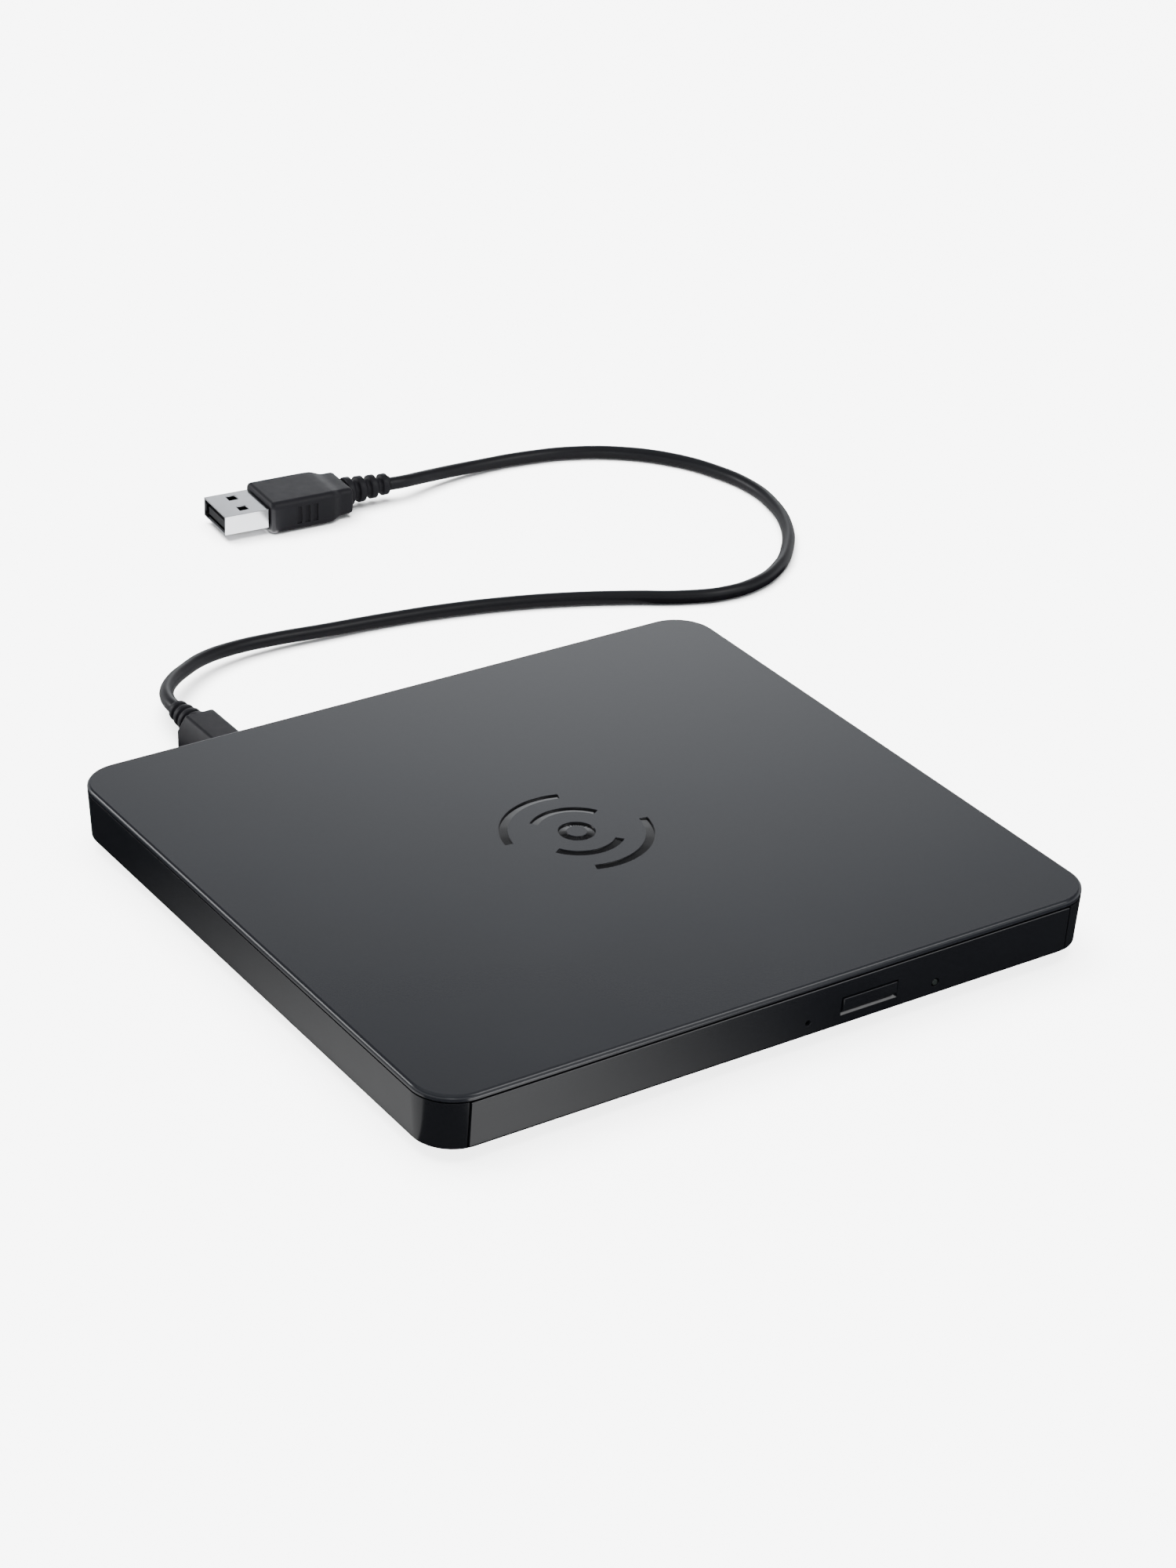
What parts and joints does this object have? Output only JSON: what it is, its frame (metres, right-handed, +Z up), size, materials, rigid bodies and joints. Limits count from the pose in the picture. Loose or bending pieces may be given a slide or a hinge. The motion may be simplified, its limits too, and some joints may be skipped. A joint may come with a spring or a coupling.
{
  "type": "external optical drive",
  "caption": "Slim external disc drive with a sliding tray, spindle, moving pickup, eject button and a USB cable lying behind it.",
  "frame": {"origin": "middle of the drive body's footprint, on the surface it stands on", "axes": "+Z up, the tray slides out towards -Y, +X is to the right seen from the tray side"},
  "size_m": [0.211, 0.2513, 0.014],
  "materials": {
    "lid_plastic": "dark graphite grey, smooth semi-gloss",
    "shell_plastic": "near-black graphite, gloss",
    "bezel_plastic": "near-black graphite, gloss",
    "foot_rubber": "matt black",
    "tray_plastic": "black, fine texture",
    "inner_plastic": "black",
    "white_plastic": "off-white",
    "sheet_steel": "zinc-plated sheet",
    "dark_steel": "dark plated",
    "cast_aluminium": "die-cast",
    "bright_nickel": "bright nickel plate",
    "brass": "turned",
    "circuit_board": "green solder mask",
    "chip": "moulded epoxy",
    "flex": "amber film",
    "lens_glass": "coated",
    "light_pipe": "unlit smoky pipe",
    "overmold": "dark grey satin",
    "cord_jacket": "black satin"
  },
  "bodies": {
    "case": {"top_cover": "lid_plastic", "bottom_case": "shell_plastic", "foot_front_left": "foot_rubber", "foot_back_left": "foot_rubber", "foot_front_right": "foot_rubber", "foot_back_right": "foot_rubber", "case_screw_front_left": "dark_steel", "case_screw_back_left": "dark_steel", "case_screw_front_right": "dark_steel", "case_screw_back_right": "dark_steel", "drive_pan": "sheet_steel", "drive_cover": "sheet_steel", "rail_left": "cast_aluminium", "rail_right": "cast_aluminium", "latch_post": "sheet_steel", "pusher_housing": "inner_plastic", "tray_flex": "flex", "bridge_board": "circuit_board", "bridge_chip": "chip", "drive_connector": "inner_plastic", "usb_socket": "bright_nickel", "usb_socket_tongue": "inner_plastic"},
    "pusher": {"pusher_pin": "sheet_steel"},
    "slide_rails": {"slide_rail_left": "sheet_steel", "slide_rail_right": "sheet_steel"},
    "tray": {"tray": "tray_plastic", "tray_shield": "sheet_steel", "tray_bezel": "bezel_plastic", "busy_light": "light_pipe", "tray_board": "circuit_board", "tray_chip": "chip", "eject_switch": "white_plastic", "latch_pivot": "sheet_steel", "latch_solenoid": "dark_steel", "traverse_frame": "dark_steel", "grommet_front_left": "foot_rubber", "grommet_back_left": "foot_rubber", "grommet_front_right": "foot_rubber", "grommet_back_right": "foot_rubber", "spindle_motor": "cast_aluminium", "guide_rod_left": "bright_nickel", "guide_rod_right": "bright_nickel", "sled_motor": "cast_aluminium"},
    "eject_button": {"eject_button": "bezel_plastic"},
    "latch_hook": {"latch_hook": "white_plastic"},
    "turntable": {"turntable": "inner_plastic"},
    "lead_screw": {"lead_screw": "brass"},
    "pickup_sled": {"pickup_sled": "cast_aluminium"},
    "lens_actuator": {"lens_holder": "inner_plastic", "pickup_lens": "lens_glass"},
    "cable": {"plug_tip": "bright_nickel", "plug_body": "overmold", "plug_relief": "overmold", "cord": "cord_jacket", "usb_relief": "overmold", "usb_body": "overmold", "usb_shell": "bright_nickel", "usb_tongue": "inner_plastic"}
  },
  "joints": [
    {"name": "tray_slide", "type": "slide", "parent": "case", "child": "tray", "axis": [0, -1, 0], "range_m": [0, 0.126]},
    {"name": "rail_slide", "type": "slide", "parent": "case", "child": "slide_rails", "axis": [0, -1, 0], "range_m": [0, 0.063]},
    {"name": "pusher_slide", "type": "slide", "parent": "case", "child": "pusher", "axis": [0, -1, 0], "range_m": [0, 0.012]},
    {"name": "eject_press", "type": "slide", "parent": "tray", "child": "eject_button", "axis": [0, 1, 0], "range_m": [0, 0.0005], "stiffness_N_per_m": 800},
    {"name": "latch_turn", "type": "hinge", "parent": "tray", "child": "latch_hook", "pos_m": [0.0455, -0.046, 0.0047], "axis": [0, 0, 1], "range_deg": [-20, 0], "stiffness_Nm_per_rad": 0.004},
    {"name": "disc_spin", "type": "hinge", "parent": "tray", "child": "turntable", "pos_m": [0, -0.0042, 0.0092], "axis": [0, 0, 1], "continuous": true},
    {"name": "pickup_travel", "type": "slide", "parent": "tray", "child": "pickup_sled", "axis": [0, 1, 0], "range_m": [0, 0.0335]},
    {"name": "lead_screw_turn", "type": "hinge", "parent": "tray", "child": "lead_screw", "pos_m": [0.0203, 0.0087, 0.0049], "axis": [0, 1, 0], "range_deg": [-20, 4040]},
    {"name": "lens_focus", "type": "slide", "parent": "pickup_sled", "child": "lens_actuator", "axis": [0, 0, 1], "range_m": [-0.0003, 0.0003], "stiffness_N_per_m": 60},
    {"name": "plug_pull", "type": "slide", "parent": "case", "child": "cable", "axis": [0, 1, 0], "range_m": [0, 0.01]}
  ],
  "couplings": [
    {"joint": "rail_slide", "follows": "tray_slide", "ratio": 0.5},
    {"joint": "pusher_slide", "follows": "tray_slide", "ratio": 0.095238},
    {"joint": "lead_screw_turn", "follows": "pickup_travel", "rad_per_m": 2094.4}
  ]
}
